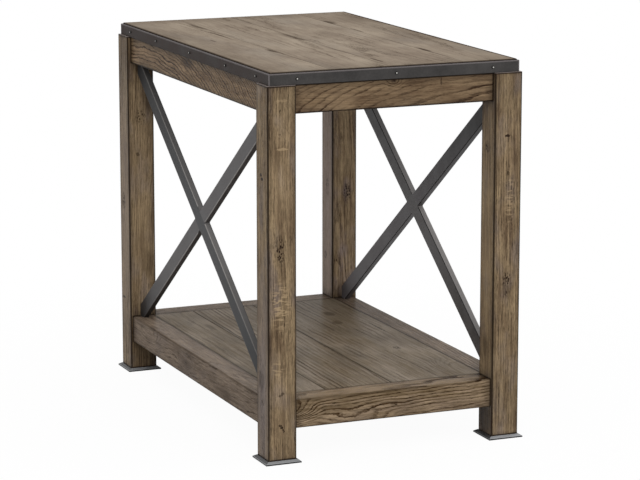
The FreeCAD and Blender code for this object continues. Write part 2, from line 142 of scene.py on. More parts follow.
def stained_oak(node, along, heart, ring, stain, seed, line, marks=(), against=(),
                beside=(), calm=0.5, waver=1.0, stroke=1.0, fine=0.3, open_grain=0.2,
                wander=16.0, slope=0.02, bow=0.0, cloud=(30, 30, 70), patch=1.0, streaky=1.0,
                coolness=0.5, roughness=0.5, specular=0.1, glaze=0.95, outline=None,
                black_below=None, lit_above=None):
    """Stained, glazed oak. The board is cut from a log with growth rings: the ring number of
    a point is its distance from the log's heart over the ring width, bent by slow noise.
    Heart, ring, wander and cloud are in mm: where the heart lies off the board's middle, the
    width of a ring, how far the grain wanders, and the size of a blotch. Slope and bow lean
    and bend the board across the rings. Line is how dark the rings are, stroke how broad,
    waver how ragged, and calm how far they fade in places. Fine is how dark the threads are,
    open_grain the pores, patch and streaky the changes of tone, and coolness the cast. A
    stain is its pale, deep and cool tones and its glaze."""
    material, put = new_material(f"stained oak {node}")
    soft = {"interpolation_type": "SMOOTHSTEP"}
    low, high = shown_box(node)
    point = millimetres(put)

    # The grain runs along the third axis of this turned place, counted from the heart
    turned = GRAIN_TURN[along]
    start = turned.to_matrix() @ ((low + high) / 2)
    location = -start - Vector((heart[0] + wander / 2, heart[1] + wander / 2, 0))
    grain = put("Mapping", {"Vector": point, "Location": location, "Rotation": turned})
    drift = put("TexNoise", {"Vector": in_cells(put, grain, 80, 80, 240), "W": seed,
                             "Scale": 1.0}, noise_dimensions="4D")
    bent = put("VectorMath", (drift.outputs["Color"], (wander, wander, 0), grain),
               operation="MULTIPLY_ADD")
    across = put("VectorMath", (bent, (1, 1, 0)), operation="MULTIPLY")
    radius = put("VectorMath", (across,), operation="LENGTH").outputs["Value"]
    length = put("SeparateXYZ", (bent,)).outputs["Z"]
    rise = put("Math", (length, bow, slope), operation="MULTIPLY_ADD")
    radius = put("Math", (length, rise, radius), operation="MULTIPLY_ADD")

    # Marks with ragged outlines: knots push the rings aside, cracks and pits are filled with
    # glaze, stains are soft and some are painted shade, worn marks are paler and some are
    # painted light, and flecks are the pale rays of quarter sawn oak
    ragged = 5.0
    fray = put("TexNoise", {"Vector": in_cells(put, point, ragged, ragged, ragged), "W": seed,
                            "Scale": 1.0, "Detail": 3.0}, noise_dimensions="4D")
    fray = put("VectorMath", (fray.outputs["Color"], (ragged, ragged, ragged), point),
               operation="MULTIPLY_ADD")
    dark = pale = grey = 0.0
    for kind, centre, size, strength in marks:
        offset = [-(place + ragged / 2) / side for place, side in zip(centre, size)]
        near = put("VectorMath", (fray, [1 / side for side in size], offset),
                   operation="MULTIPLY_ADD")
        near = put("VectorMath", (near,), operation="LENGTH").outputs["Value"]
        # A knot pushes the rings aside out to three times its own size, a swirl within its size
        if kind in ("knot", "swirl"):
            reach, rings = (3.0, 2.2) if kind == "knot" else (1.0, strength)
            push = put("MapRange", (near, 0.0, reach, rings * ring, 0.0), **soft)
            radius = put("Math", (radius, push), operation="ADD")
        if kind == "swirl":
            continue
        mask = put("MapRange", (near, MARK_CORE[kind], 1.0, strength, 0.0), **soft)
        if kind == "pits":
            dots = put("TexVoronoi", {"Vector": in_cells(put, bent, 3, 3, 5), "Scale": 1.0})
            dots = put("MapRange", (dots.outputs["Distance"], 0.32, 0.55, 1.0, 0.25), **soft)
            mask = put("Math", (mask, dots), operation="MULTIPLY")
        if kind == "flecks":
            bars = put("TexNoise", {"Vector": in_cells(put, grain, 12, 12, 3.5),
                                    "W": seed + 7, "Scale": 1.0, "Detail": 1.0},
                       noise_dimensions="4D")
            bars = put("MapRange", (bars.outputs["Fac"], 0.5, 0.58, 0.0, 1.0), **soft)
            mask = put("Math", (mask, bars), operation="MULTIPLY")
        if kind in ("flecks", "fleck", "wear_and_painted_light"):
            pale = put("Math", (mask, pale), operation="MAXIMUM")
        elif kind == "grey":
            grey = put("Math", (mask, grey), operation="MAXIMUM")
        else:
            dark = put("Math", (mask, dark), operation="MAXIMUM")

    # Growth rings: each starts with a dark porous line that fades into paler late wood. Some
    # rings are fainter than others, and all of them are fainter in some places. A noise lies
    # about 0.5, so steps near that value decide how much of the wood it covers
    faintest = 0.25
    wobble = put("TexNoise", {"Vector": in_cells(put, grain, 14, 14, 50), "W": seed,
                              "Scale": 1.0, "Detail": 3.0}, noise_dimensions="4D")
    count = put("Math", (radius, ring), operation="DIVIDE")
    count = put("Math", (wobble.outputs["Fac"], waver, count), operation="MULTIPLY_ADD")
    within = put("Math", (count,), operation="FRACT")
    early = put("ValToRGB", (within,), stops=[
        (place * stroke / ring, darkness) for place, darkness in EARLY_WOOD])
    number = put("Math", (count,), operation="FLOOR")
    number = put("Math", (number, seed), operation="ADD")
    vigour = put("TexWhiteNoise", {"W": number}, noise_dimensions="1D").outputs["Value"]
    vigour = put("MapRange", (vigour, 0.0, 1.0, faintest, 1.0), **soft)
    early = put("Math", (early, vigour), operation="MULTIPLY")
    lull = put("TexNoise", {"Vector": in_cells(put, grain, 30, 30, 120), "W": seed + 6,
                            "Scale": 1.0}, noise_dimensions="4D")
    lull = put("MapRange", (lull.outputs["Fac"], 0.42, 0.6, 1.0 - calm, 1.0), **soft)
    early = put("Math", (early, lull), operation="MULTIPLY")

    # Open pores are dashes of about 0.3 by 6 mm. They are drawn as dashes of 1.2 by 14 mm,
    # as coarse as they need to be to show, and as finer ones of 0.5 by 7 mm between those.
    # Between its pores a ring keeps part of its darkness, and early wood has more of them
    between_pores, early_pores = 0.6, 0.5
    coarse = put("TexNoise", {"Vector": in_cells(put, bent, 1.2, 1.2, 14), "W": seed + 1,
                              "Scale": 1.0}, noise_dimensions="4D")
    coarse = put("MapRange", (coarse.outputs["Fac"], 0.54, 0.61, 0.0, 1.0), **soft)
    small = put("TexNoise", {"Vector": in_cells(put, bent, 0.5, 0.5, 7), "W": seed + 2,
                             "Scale": 1.0, "Detail": 1.0}, noise_dimensions="4D")
    small = put("MapRange", (small.outputs["Fac"], 0.54, 0.64, 0.0, 1.0), **soft)
    pores = put("Math", (coarse, small), operation="MAXIMUM")
    broken = put("Math", (coarse, 1 - between_pores, between_pores),
                 operation="MULTIPLY_ADD")
    rings = put("Math", (early, broken), operation="MULTIPLY")
    rings = put("Math", (rings, line), operation="MULTIPLY", use_clamp=True)
    porous = put("Math", (early, early_pores, open_grain), operation="MULTIPLY_ADD")
    pores = put("Math", (pores, porous), operation="MULTIPLY")

    # Long fine lines, streaks and blotches of the stain, and a cooler cast where it took less
    pale_fine, blotchy, spread = 0.6 * fine, 1.2, 0.35 / patch
    thread = put("TexNoise", {"Vector": in_cells(put, bent, 1.3, 1.3, 60), "W": seed + 4,
                              "Scale": 1.0, "Detail": 1.0}, noise_dimensions="4D")
    thread_dark = put("MapRange", (thread.outputs["Fac"], 0.52, 0.6, 0.0, fine), **soft)
    thread_pale = put("MapRange", (thread.outputs["Fac"], 0.46, 0.38, 0.0, pale_fine), **soft)
    streak = put("TexNoise", {"Vector": in_cells(put, bent, 4, 4, 150), "W": seed + 5,
                              "Scale": 1.0, "Detail": 3.0}, noise_dimensions="4D")
    blotch = put("TexNoise", {"Vector": in_cells(put, grain, *cloud), "W": seed + 3,
                              "Scale": 1.0, "Detail": 4.0, "Roughness": 0.6},
                 noise_dimensions="4D").outputs["Fac"]
    tone = put("Math", (blotch, blotchy), operation="MULTIPLY")
    tone = put("Math", (streak.outputs["Fac"], streaky, tone), operation="MULTIPLY_ADD")
    middle = (blotchy + streaky) / 2
    tone = put("MapRange", (tone, middle - spread, middle + spread, 0.0, 1.0), **soft)
    cool = put("TexNoise", {"Vector": in_cells(put, grain, *cloud), "W": seed + 8,
                            "Scale": 1.0}, noise_dimensions="4D")
    cool = put("MapRange", (cool.outputs["Fac"], 0.46, 0.7, 0.0, coolness), **soft)
    cool = put("Math", (grey, cool), operation="MAXIMUM")

    # Dark glaze left along the arrises, and painted shade in the corners with the pieces that
    # this one runs against or stands beside. Distances are in mm
    ragged_by, thin_glaze = 1.5, 0.3 * glaze
    edge = arris_distance(put, point, low, high)
    edge = put("Math", (blotch, -ragged_by, edge), operation="MULTIPLY_ADD")
    tone_and_painted_light = put("MapRange", (edge, 0.7, 2.6, glaze, 0.0), **soft)
    shade = put("MapRange", (edge, 0.0, 8.0, thin_glaze, 0.0), **soft)
    tone_and_painted_light = put("Math", (tone_and_painted_light, shade), operation="MAXIMUM")
    for neighbours, near, far, share in ((against, 0.5, 3.5, 0.9), (against, 0.0, 18.0, 0.4),
                                         (beside, 0.3, 2.5, 0.8)):
        if neighbours:
            gap = corner_distance(put, point, neighbours)
            corner = put("MapRange", (gap, near, far, share, 0.0), **soft)
            tone_and_painted_light = put("Math", (tone_and_painted_light, corner), operation="MAXIMUM")
    if outline:
        inward = put("SeparateXYZ", (box_depth(put, point, *outline),)).outputs
        inward = put("Math", (inward["X"], inward["Y"]), operation="MINIMUM")
        # The planks darken within 5 mm of the outline, and painted shade fades out over 80 mm
        for far, share in ((5.0, 0.8), (80.0, 0.2)):
            rim = put("MapRange", (inward, 1.0, far, share, 0.0), **soft)
            tone_and_painted_light = put("Math", (tone_and_painted_light, rim), operation="MAXIMUM")
    height = put("SeparateXYZ", (point,)).outputs["Z"]
    filled = ledge_light = 0.0
    if black_below is not None:
        filled = put("MapRange", (height, black_below, black_below + 0.8, 0.95, 0.0), **soft)
    # Painted light on the ledge that a leg's end makes beside the band
    if lit_above is not None:
        ledge_light = put("MapRange", (height, lit_above - 0.3, lit_above, 0.0, 0.8), **soft)

    # Early wood takes more of the stain, bare rays and worn places less, and knots the most;
    # the glaze carries painted shade, and a leg's ledge painted light
    light, deep, cast, black = (linear(code) for code in stain)
    brown, bright = scaled(deep, 0.3, 0.22, 0.16), scaled(light, 1.4, 1.4, 1.4)
    umber = scaled(black, 0.9, 0.6, 0.4)
    colour = put("Mix", (tone, light, deep), data_type="RGBA")
    for share, other in ((cool, cast), (thread_pale, bright), (thread_dark, black),
                         (rings, brown), (pores, black), (pale, bright), (tone_and_painted_light, black),
                         (dark, umber), (ledge_light, cast), (filled, linear("#100D0C"))):
        colour = put("Mix", (share, colour, other), data_type="RGBA")

    # Pores, early wood and dark marks are sunk, and the pores are duller too
    sunk, pore_share, mark_share = 0.0005, 0.6, 1.6
    rough = put("MapRange", {"Value": pores, "To Min": roughness, "To Max": roughness + 0.2})
    relief = put("Math", (pores, pore_share, rings), operation="MULTIPLY_ADD")
    relief = put("Math", (dark, mark_share, relief), operation="MULTIPLY_ADD")
    bump = put("Bump", {"Height": relief, "Strength": 0.7, "Distance": sunk}, invert=True)
    wood = put("BsdfPrincipled", {"Base Color": colour, "Roughness": rough, "Normal": bump,
                                  "IOR": 1.5, "Specular IOR Level": specular})
    put("OutputMaterial", {"Surface": wood})
    return material


def dress(name, material):
    """Gives a CAD node its finish."""
    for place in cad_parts[name].material_slots:
        place.material = material


# Each mark is its kind, its middle and half sizes in mm, and its strength. The strength of a
# swirl is the number of rings that it pushes aside
LEG_MARKS = {
    "front_left": [
        ("pits", (-195, -347, 335), (12, 8, 32), 1.0),
        ("pits", (-194, -347, 551), (4, 8, 7), 0.65),
        ("pits", (-195, -347, 514), (4, 8, 7), 0.6),
        ("grey", (-215, -323, 100), (5, 40, 240), 0.95),
        ("crack", (-196, -347, 60), (3.8, 4, 1.8), 0.8),
        ("crack", (-193, -347, 57), (3.0, 4, 2.2), 0.9),
        ("crack", (-190, -347, 52), (1.9, 4, 4.0), 0.8),
        ("crack", (-195, -347, 108), (4, 4, 1.8), 0.6),
        ("crack", (-191, -347, 111), (3, 4, 2.4), 0.6),
        ("crack", (-215, -324, 445), (4, 6, 3.0), 0.95),
        ("crack", (-215, -319, 451), (4, 5, 3.0), 0.9),
        # Painted shade at the top of the leg, under the band
        ("stain", (-191, -347, 590), (40, 8, 100), 0.2),
        ("wear_and_painted_light", (-191, -347, 545), (16, 4, 60), 0.08),
        ("wear_and_painted_light", (-191, -347, 430), (30, 5, 90), 0.16),
        ("wear_and_painted_light", (-196, -347, 90), (14, 4, 110), 0.12),
        ("wear_and_painted_light", (-180, -347, 60), (12, 4, 70), 0.14),
        ("stain", (-215, -320, 128), (6, 14, 26), 0.45),
        ("fleck", (-191, -347, 567), (11, 3, 2.6), 0.4),
        ("fleck", (-199, -347, 508), (2.4, 3, 16), 0.35),
        ("fleck", (-183, -347, 508), (2.4, 3, 16), 0.35),
        ("fleck", (-191, -347, 493), (12, 3, 2.4), 0.5),
        ("flecks", (-194, -347, 250), (22, 5, 52), 0.55),
        ("flecks", (-198, -347, 150), (14, 5, 24), 0.4),
    ],
    "front_right": [
        ("crack", (190, -347, 490), (6, 4, 2.6), 0.95),
        ("pits", (192, -347, 253), (11, 8, 30), 1.0),
        ("crack", (192, -347, 430), (2, 4, 5), 0.7),
        ("pits", (168, -322, 470), (6, 12, 12), 1.0),
        ("wear_and_painted_light", (168, -322, 330), (4, 40, 240), 0.22),
        ("stain", (168, -322, 150), (5, 14, 28), 0.5),
        ("stain", (168, -322, 26), (5, 40, 44), 0.85),
        ("stain", (195, -347, 60), (30, 4, 90), 0.2),
        # Painted shade at the top of the leg, under the band
        ("stain", (191, -347, 590), (40, 8, 130), 0.2),
        ("flecks", (195, -347, 390), (12, 5, 60), 0.35),
    ],
    "back_left": [
        ("grey", (-215, 323, 300), (5, 60, 400), 0.6),
        ("wear_and_painted_light", (-215, 323, 300), (4, 40, 280), 0.12),
        ("pits", (-215, 329, 300), (8, 13, 20), 1.0),
        ("crack", (-215, 334, 127), (4, 9, 2.4), 0.8),
        ("wear_and_painted_light", (-192, 300, 330), (40, 4, 240), 0.16),
        ("stain", (-178, 300, 480), (14, 6, 38), 0.5),
        ("stain", (-183, 300, 190), (14, 6, 38), 0.25),
        ("crack", (-198, 300, 385), (3.5, 4, 4), 0.55),
        # Painted shadow low on the front face
        ("stain", (-192, 300, 26), (40, 5, 44), 0.45),
        ("pits", (-192, 300, 450), (14, 6, 20), 0.8),
        # Painted shadow low on the right of the front face, under the rail
        ("stain", (-172, 300, 24), (16, 6, 56), 0.8),
        # Painted shade at the top of the leg, under the band
        ("stain", (-215, 323, 590), (8, 40, 160), 0.3),
    ],
    "back_right": [
        ("swirl", (184, 300, 392), (8, 6, 22), 2.5),
        ("stain", (184, 300, 392), (5, 6, 12), 0.35),
        ("pits", (197, 300, 290), (11, 8, 26), 0.95),
        ("wear_and_painted_light", (168, 324, 320), (4, 40, 280), 0.28),
        ("grey", (168, 324, 320), (4, 60, 400), 1.0),
        ("pits", (168, 330, 172), (8, 7, 11), 1.0),
        ("pits", (168, 322, 300), (8, 12, 30), 0.5),
        # Painted shade at the top of the leg, under the band
        ("stain", (168, 323, 590), (8, 40, 180), 0.3),
    ],
}
LEG_STAIN = ("#A28C6D", "#6C5843", "#8A7F7B", "#22180E")
GREYER_STAIN = ("#A28C6D", "#6C5843", "#94888D", "#22180E")
LEG_LOOKS = {
    "front_left": dict(heart=(260, 34), ring=3.2, slope=0.02, line=0.35, stain=LEG_STAIN),
    "front_right": dict(heart=(-240, 60), ring=4.2, slope=0.02, line=0.4, stain=LEG_STAIN),
    "back_left": dict(heart=(40, -30), ring=4.6, slope=0.05, line=0.7, stain=LEG_STAIN),
    "back_right": dict(heart=(-14, -34), ring=5.0, slope=0.07, line=1.0, stain=GREYER_STAIN),
}
# In mm over the floor, the ledge that a leg's end makes outside the band, painted lighter
leg_top = 589.8
for index, (corner, looks) in enumerate(LEG_LOOKS.items()):
    end, side = corner.split("_")
    dress(f"{corner}_leg", stained_oak(
        f"{corner}_leg", "z", seed=11.0 * index + 2, marks=LEG_MARKS[corner], fine=0.34,
        open_grain=0.32, wander=10.0, streaky=1.3, lit_above=leg_top,
        beside=(f"{corner}_foot_plate", f"{end}_band_strip"),
        against=(f"{end}_apron", f"{side}_apron", f"{end}_shelf_rail", f"{side}_shelf_rail"),
        **looks))

# Foot plates: cast iron squares under the legs, sloping up from a thin edge to the wood.
# Each is screwed to its leg from below. Their front and back slopes and their arrises have
# painted light, and painted shade darkens them where they meet the leg.

SHADE_BLACK = "#121212"


def lower_arrises_off(low):
    """The low corner of a box moved 30 mm down, so that its lower arrises don't count."""
    return low - Vector((0, 0, 30))


def plate_slope_light(put, point, low, high, colour, light):
    """How far a point on a foot plate is from the arris of its thin edge, and its colour: the
    slopes to the front and back, nearer to those sides than to the others, are painted lighter."""
    slope_height, mitre, brighter = 3.0, 0.4, 0.46
    inward = put("SeparateXYZ", (box_depth(put, point, low, high),)).outputs
    nearer = put("Math", (inward["X"], inward["Y"]), operation="SUBTRACT")
    tone_and_painted_light = put("MapRange", (nearer, -mitre, mitre, 0.0, brighter))
    colour = put("Mix", (tone_and_painted_light, colour, light), data_type="RGBA")
    edge_top = high - Vector((0, 0, slope_height))
    return arris_distance(put, point, lower_arrises_off(low), edge_top), colour


def brace_highlights(put, point, low, high, rises, colour, light):
    """How far a point on a brace bar is from its nearest long arris, and the colours of that
    arris's painted highlight and of the bar, with painted light on its upper narrow face. The
    bar is turned level by its slope, atan(rise / run)."""
    # Half a bar's width, the height of its middle line over the rail where it meets the leg,
    # and how far the other bar reaches along it from the crossing, in mm
    half_width, gap, crossing = 13.0, 5.0, 18.3
    size = high - low
    level = Euler((-rises * math.atan2(size.z - 2 * gap, size.y), 0, 0))
    middle = level.to_matrix() @ ((low + high) / 2)
    flat = put("Mapping", {"Vector": point, "Location": -middle, "Rotation": level})
    half = Vector((size.x / 2, size.y, half_width))
    edge = arris_distance(put, flat, -half, half)
    flat = put("SeparateXYZ", (flat,)).outputs
    # The upper narrow face, with its outermost 0.6 mm, is painted lighter
    skin, upper_light = 0.6, 0.35
    upper = put("MapRange", (flat["Z"], half_width - skin, half_width, 0.0, upper_light))
    colour = put("Mix", (upper, colour, light), data_type="RGBA")
    # Where the bars cross they are flush, so no highlight is painted on an arris there: points
    # count as further from it, by more than the strip that is painted
    further = 3.0
    apart = put("Math", (flat["Y"],), operation="ABSOLUTE")
    flush = put("MapRange", (apart, crossing, crossing + 2, further, 0.0))
    edge = put("Math", (edge, flush), operation="ADD")
    # The outer arrises get the painted highlight, and the inner ones a black line
    table_side = abs(low.x + high.x) / 2
    side = put("SeparateXYZ", (point,)).outputs["X"]
    side = put("Math", (side,), operation="ABSOLUTE")
    outer = put("Math", (side, table_side), operation="GREATER_THAN")
    light = put("Mix", (outer, linear("#1C1C1C"), light), data_type="RGBA")
    return edge, light, colour


def dark_iron(kind, node, tone, wear_and_painted_light, seed, highlight_strength, roughness, metallic, grit,
              relief=0.00008, specular=0.3, against=(), shade_reach=None, black_below=None, rises=0,
              strip=(1.2, 2.2)):
    """Blackened or cast iron: clouded tone, fine grit in mm, and a painted highlight along the
    arrises on a strip in mm. A bar that rises to the back (1) or front (-1) has its arrises
    along its own slope. Painted shade near other pieces is two distances in mm from them, and
    its share at the nearer one."""
    material, put = new_material(f"{kind} {node}")
    point = millimetres(put)
    cloud = put("TexNoise", {"Vector": in_cells(put, point, 28, 28, 28), "W": seed,
                             "Scale": 1.0, "Detail": 4.0}, noise_dimensions="4D")
    grain = put("TexNoise", {"Vector": in_cells(put, point, grit, grit, grit), "W": seed,
                             "Scale": 1.0, "Detail": 2.0}, noise_dimensions="4D")
    gritty, darker, paler = 0.4, [0.72] * 3, [1.25] * 3
    mottle = put("Math", (grain.outputs["Fac"], gritty, cloud.outputs["Fac"]),
                 operation="MULTIPLY_ADD")
    mottle = put("MapRange", (mottle, 0.48, 0.92, 0.0, 1.0))
    dark, light = linear(tone), linear(wear_and_painted_light)
    colour = put("Mix", (mottle, scaled(dark, *darker), scaled(dark, *paler)),
                 data_type="RGBA")
    low, high = shown_box(node)
    if rises:
        edge, light, colour = brace_highlights(put, point, low, high, rises, colour, light)
    elif node.endswith("foot_plate"):
        edge, colour = plate_slope_light(put, point, low, high, colour, light)
    else:
        edge = arris_distance(put, point, lower_arrises_off(low), high)
    # Painted highlight along the arrises, on the strip
    highlight = put("MapRange", (edge, *strip, highlight_strength, 0.0), interpolation_type="SMOOTHSTEP")
    colour = put("Mix", (highlight, colour, light), data_type="RGBA")
    # Painted shade near the pieces that this one runs against
    if against:
        near, far, share = shade_reach
        shade_share = put("MapRange", (corner_distance(put, point, against), near, far, share, 0.0),
                    interpolation_type="SMOOTHSTEP")
        colour = put("Mix", (shade_share, colour, linear(SHADE_BLACK)), data_type="RGBA")
    if black_below is not None:
        height = put("SeparateXYZ", (point,)).outputs["Z"]
        below = put("MapRange", (height, black_below, black_below + 0.3, 1.0, 0.0))
        colour = put("Mix", (below, colour, linear(SHADE_BLACK)), data_type="RGBA")
    rough = put("MapRange", {"Value": mottle, "To Min": roughness - 0.08,
                             "To Max": roughness + 0.1})
    bump = put("Bump", {"Height": grain.outputs["Fac"], "Strength": 0.5, "Distance": relief})
    iron = put("BsdfPrincipled", {"Base Color": colour, "Roughness": rough, "Normal": bump,
                                  "Metallic": metallic, "Specular IOR Level": specular})
    put("OutputMaterial", {"Surface": iron})
    return material


# In mm over the floor, the top of a plate's thin edge, which lies in its own shade
thin_edge = 1.9
for index, corner in enumerate(LEG_LOOKS):
    node = f"{corner}_foot_plate"
    dress(node, dark_iron(
        "cast iron", node, "#49494A", "#C3C5C8", index + 1.0, highlight_strength=0.4, strip=(0.4, 1.4),
        roughness=0.38, metallic=0.25, grit=2.2, relief=0.00004, against=(f"{corner}_leg",),
        shade_reach=(0.1, 1.3, 0.8), black_below=thin_edge))

# Aprons and shelf rails: flat sawn oak bars with strong arched grain, tenoned and glued into
# the legs. The aprons carry the top, the rails carry the shelf.

APRON_STAIN = ("#927B5F", "#644F3B", "#6C5A48", "#1E140B")
LEFT_STAIN = ("#9A8164", "#644E38", "#706049", "#1E140B")
RAIL_STAIN = ("#A99379", "#7A674D", "#7C6B5D", "#1F160F")
SIDE_STAIN = ("#978675", "#6E5F51", "#7B6F67", "#1F160F")
RAIL_LOOKS = {
    "front_apron": dict(
        stain=APRON_STAIN, heart=(34, -50), ring=6.5, slope=-0.2, bow=0.0005, line=2.0,
        waver=1.1, calm=0.6, marks=[
            ("knot", (-2, -340, 587), (7, 6, 6), 0.95),
            ("crack", (78, -340, 581), (1.6, 6, 7), 0.6),
            ("wear_and_painted_light", (-90, -340, 560), (36, 6, 18), 0.2)]),
    "left_apron": dict(
        stain=LEFT_STAIN, heart=(10, 90), ring=6.5, slope=-0.28, bow=0.0006, line=3.6,
        waver=2.4, calm=0.15, marks=[
            ("wear_and_painted_light", (-208, 240, 570), (6, 80, 12), 0.2),
            ("stain", (-208, 20, 580), (6, 40, 12), 0.6)]),
    "back_apron": dict(
        stain=APRON_STAIN, heart=(20, 50), ring=6.0, slope=0.1, line=1.4, waver=1.4),
    "right_apron": dict(
        stain=APRON_STAIN, heart=(30, 16), ring=5.0, slope=0.05, line=1.4, waver=1.2),
    "front_shelf_rail": dict(
        stain=RAIL_STAIN, heart=(70, -12), ring=5.0, slope=-0.05, line=1.8, waver=2.0,
        calm=0.4, marks=[
            ("swirl", (-176, -342, 80), (60, 20, 28), 5.0),
            ("swirl", (-60, -342, 52), (90, 20, 30), 3.0),
            # Painted sheen on the rail's top face
            ("wear_and_painted_light", (0, -330, 98), (230, 14, 3), 0.12),
            ("pits", (0, -342, 74), (7, 6, 7), 0.9)]),
    "left_shelf_rail": dict(
        stain=SIDE_STAIN, heart=(-40, 60), ring=7.5, slope=0.12, line=0.8, waver=2.6,
        calm=0.6, marks=[
            # Painted sheen on the rail's top face
            ("wear_and_painted_light", (-200, 0, 98), (40, 330, 3), 0.16),
            ("swirl", (-210, 30, 74), (10, 60, 20), 4.0),
            ("swirl", (-210, 210, 80), (10, 70, 24), 3.0),
            ("stain", (-210, 30, 74), (6, 34, 10), 0.4),
            ("stain", (-210, -150, 66), (6, 50, 12), 0.3)]),
    "back_shelf_rail": dict(
        stain=SIDE_STAIN, heart=(14, 40), ring=5.0, slope=0.1, line=1.4, waver=1.4),
    "right_shelf_rail": dict(
        stain=SIDE_STAIN, heart=(60, 26), ring=5.0, slope=0.05, line=1.2, marks=[
            # Painted shade, deepest towards the back
            ("stain", (200, 330, 98), (420, 480, 30), 0.4)]),
}
for index, (node, looks) in enumerate(RAIL_LOOKS.items()):
    side = node.split("_")[0]
    if side in ("front", "back"):
        along, against = "x", [f"{side}_left_leg", f"{side}_right_leg"]
    else:
        along, against = "y", [f"front_{side}_leg", f"back_{side}_leg"]
    if node.endswith("apron"):
        # Painted shade along an apron's top, under the band
        against.append(f"{side}_band_strip")
        finish = dict(roughness=0.5, specular=0.1, fine=0.14, glaze=0.95)
    else:
        finish = dict(roughness=0.25, specular=0.008, fine=0.25, glaze=0.5)
    dress(node, stained_oak(node, along, seed=7.0 * index + 31, against=against,
                            open_grain=0.3, **finish, **looks))

# Corner blocks and battens: plain oak with a thin coat of stain, glued and screwed where
# nobody looks, behind the aprons and under the planks.

INNER_STAIN = ("#9A845F", "#7C6746", "#80705F", "#4A3A28")
inner_pieces = [f"{corner}_corner_block" for corner in LEG_LOOKS]
inner_pieces += ["front_top_batten", "back_top_batten", "front_shelf_batten",
                 "middle_shelf_batten", "back_shelf_batten"]
for index, node in enumerate(inner_pieces):
    dress(node, stained_oak(node, "x", heart=(25, 60), ring=4.5, stain=INNER_STAIN,
                            seed=5.0 * index + 61, line=0.4, roughness=0.6, glaze=0.3))

# Cross braces: flat iron bars between the legs on both long sides, halved into each other
# and flush where they cross, and blackened. Steel pins hold their ends in the legs.

# Each bar's tone and specular level, the pieces near which painted shade darkens it, and the
# reach and share of that shade
BRACE_LOOKS = {
    "left_brace_bar_high_front": dict(
        tone="#524F4F", specular=0.2, against=("left_shelf_rail",), shade_reach=(-10.0, 120.0, 0.85)),
    "left_brace_bar_high_back": dict(
        tone="#555556", specular=0.06, against=("left_apron", "front_left_leg"),
        shade_reach=(-10.0, 330.0, 0.6)),
    "right_brace_bar_high_front": dict(
        tone="#595557", specular=0.2, against=("right_apron",), shade_reach=(-10.0, 260.0, 0.85)),
    "right_brace_bar_high_back": dict(
        tone="#595656", specular=0.2, against=("right_apron",), shade_reach=(-10.0, 260.0, 0.85)),
}
for index, (node, looks) in enumerate(BRACE_LOOKS.items()):
    dress(node, dark_iron(
        "blackened iron", node, wear_and_painted_light="#ABA7A4", seed=21.0 + index // 2, highlight_strength=0.85,
        strip=(0.7, 1.5), roughness=0.45, metallic=0.0, grit=3.0,
        rises=1 if node.endswith("back") else -1, **looks))


def bright_steel(name, tone):
    """Turned steel of pins and screws, with fine rings of tool marks: a wave repeats every
    2 pi / 20 of its scale, so 520 sets the rings 0.6 mm apart."""
    material, put = new_material(name)
    marks = put("TexWave", {"Vector": put("TexCoord").outputs["Object"], "Scale": 520.0,
                            "Distortion": 3.0, "Detail": 2.0}, bands_direction="Z")
    rough = put("MapRange", {"Value": marks.outputs["Fac"], "To Min": 0.28, "To Max": 0.46})
    bump = put("Bump", {"Height": marks.outputs["Fac"], "Strength": 0.3,
                        "Distance": 0.00005})
    steel = put("BsdfPrincipled", {"Base Color": linear(tone), "Roughness": rough,
                                   "Normal": bump, "Metallic": 1.0})
    put("OutputMaterial", {"Surface": steel})
    return material


screw_steel = bright_steel("turned steel", "#A9A7A2")
for node in ("brace_pins", "foot_screws", "top_screws", "shelf_screws"):
    dress(node, screw_steel)

# Shelf: three oak planks tongued together inside the rails, screwed to battens from below.
# Years of use left it smooth, with glaze in the joints and a soft sheen.

SHELF_STAIN = ("#9D8F7E", "#796952", "#6A6154", "#20170F")
# Painted shade over the back right of the shelf: a darker stain and a grey cast
FAR_SHADE = ("stain", (200, 330, 98), (420, 480, 30), 0.3)
FAR_GREY_SHADE = ("grey", (170, 300, 98), (260, 440, 30), 0.5)
SHELF_LOOKS = {
    "shelf_board_1": dict(heart=(60, 50), ring=7.0, line=0.5, calm=0.9, waver=1.0, marks=[
        ("stain", (-115, 170, 98), (9, 34, 5), 0.4), FAR_SHADE]),
    "shelf_board_2": dict(heart=(110, 20), ring=8.0, line=1.4, calm=0.3, waver=0.5, marks=[
        ("stain", (-30, 40, 98), (12, 40, 5), 0.2), FAR_SHADE, FAR_GREY_SHADE]),
    "shelf_board_3": dict(heart=(-120, 22), ring=9.0, line=1.0, calm=0.9, waver=1.0, marks=[
        ("crack", (150, 60, 98), (1.6, 50, 4), 0.8),
        ("stain", (114, 186, 98), (16, 30, 5), 0.6),
        ("stain", (100, 118, 98), (16, 24, 5), 0.5),
        ("stain", (160, -30, 98), (70, 110, 30), 0.3), FAR_SHADE, FAR_GREY_SHADE,
        ("swirl", (146, -240, 98), (34, 60, 30), 3.0),
        ("pits", (118, -90, 98), (8, 14, 5), 0.9)]),
}
for index, (node, looks) in enumerate(SHELF_LOOKS.items()):
    dress(node, stained_oak(
        node, "y", stain=SHELF_STAIN, seed=9.0 * index + 101, stroke=1.8, fine=0.16,
        open_grain=0.1, streaky=0.7, cloud=(50, 50, 120), roughness=0.22, specular=0.006,
        glaze=0.6, **looks))

# Top: four wide oak planks tongued together, screwed from below to battens and blocks. The
# stain is paler here, and knots, cracks and joints are filled with dark glaze.

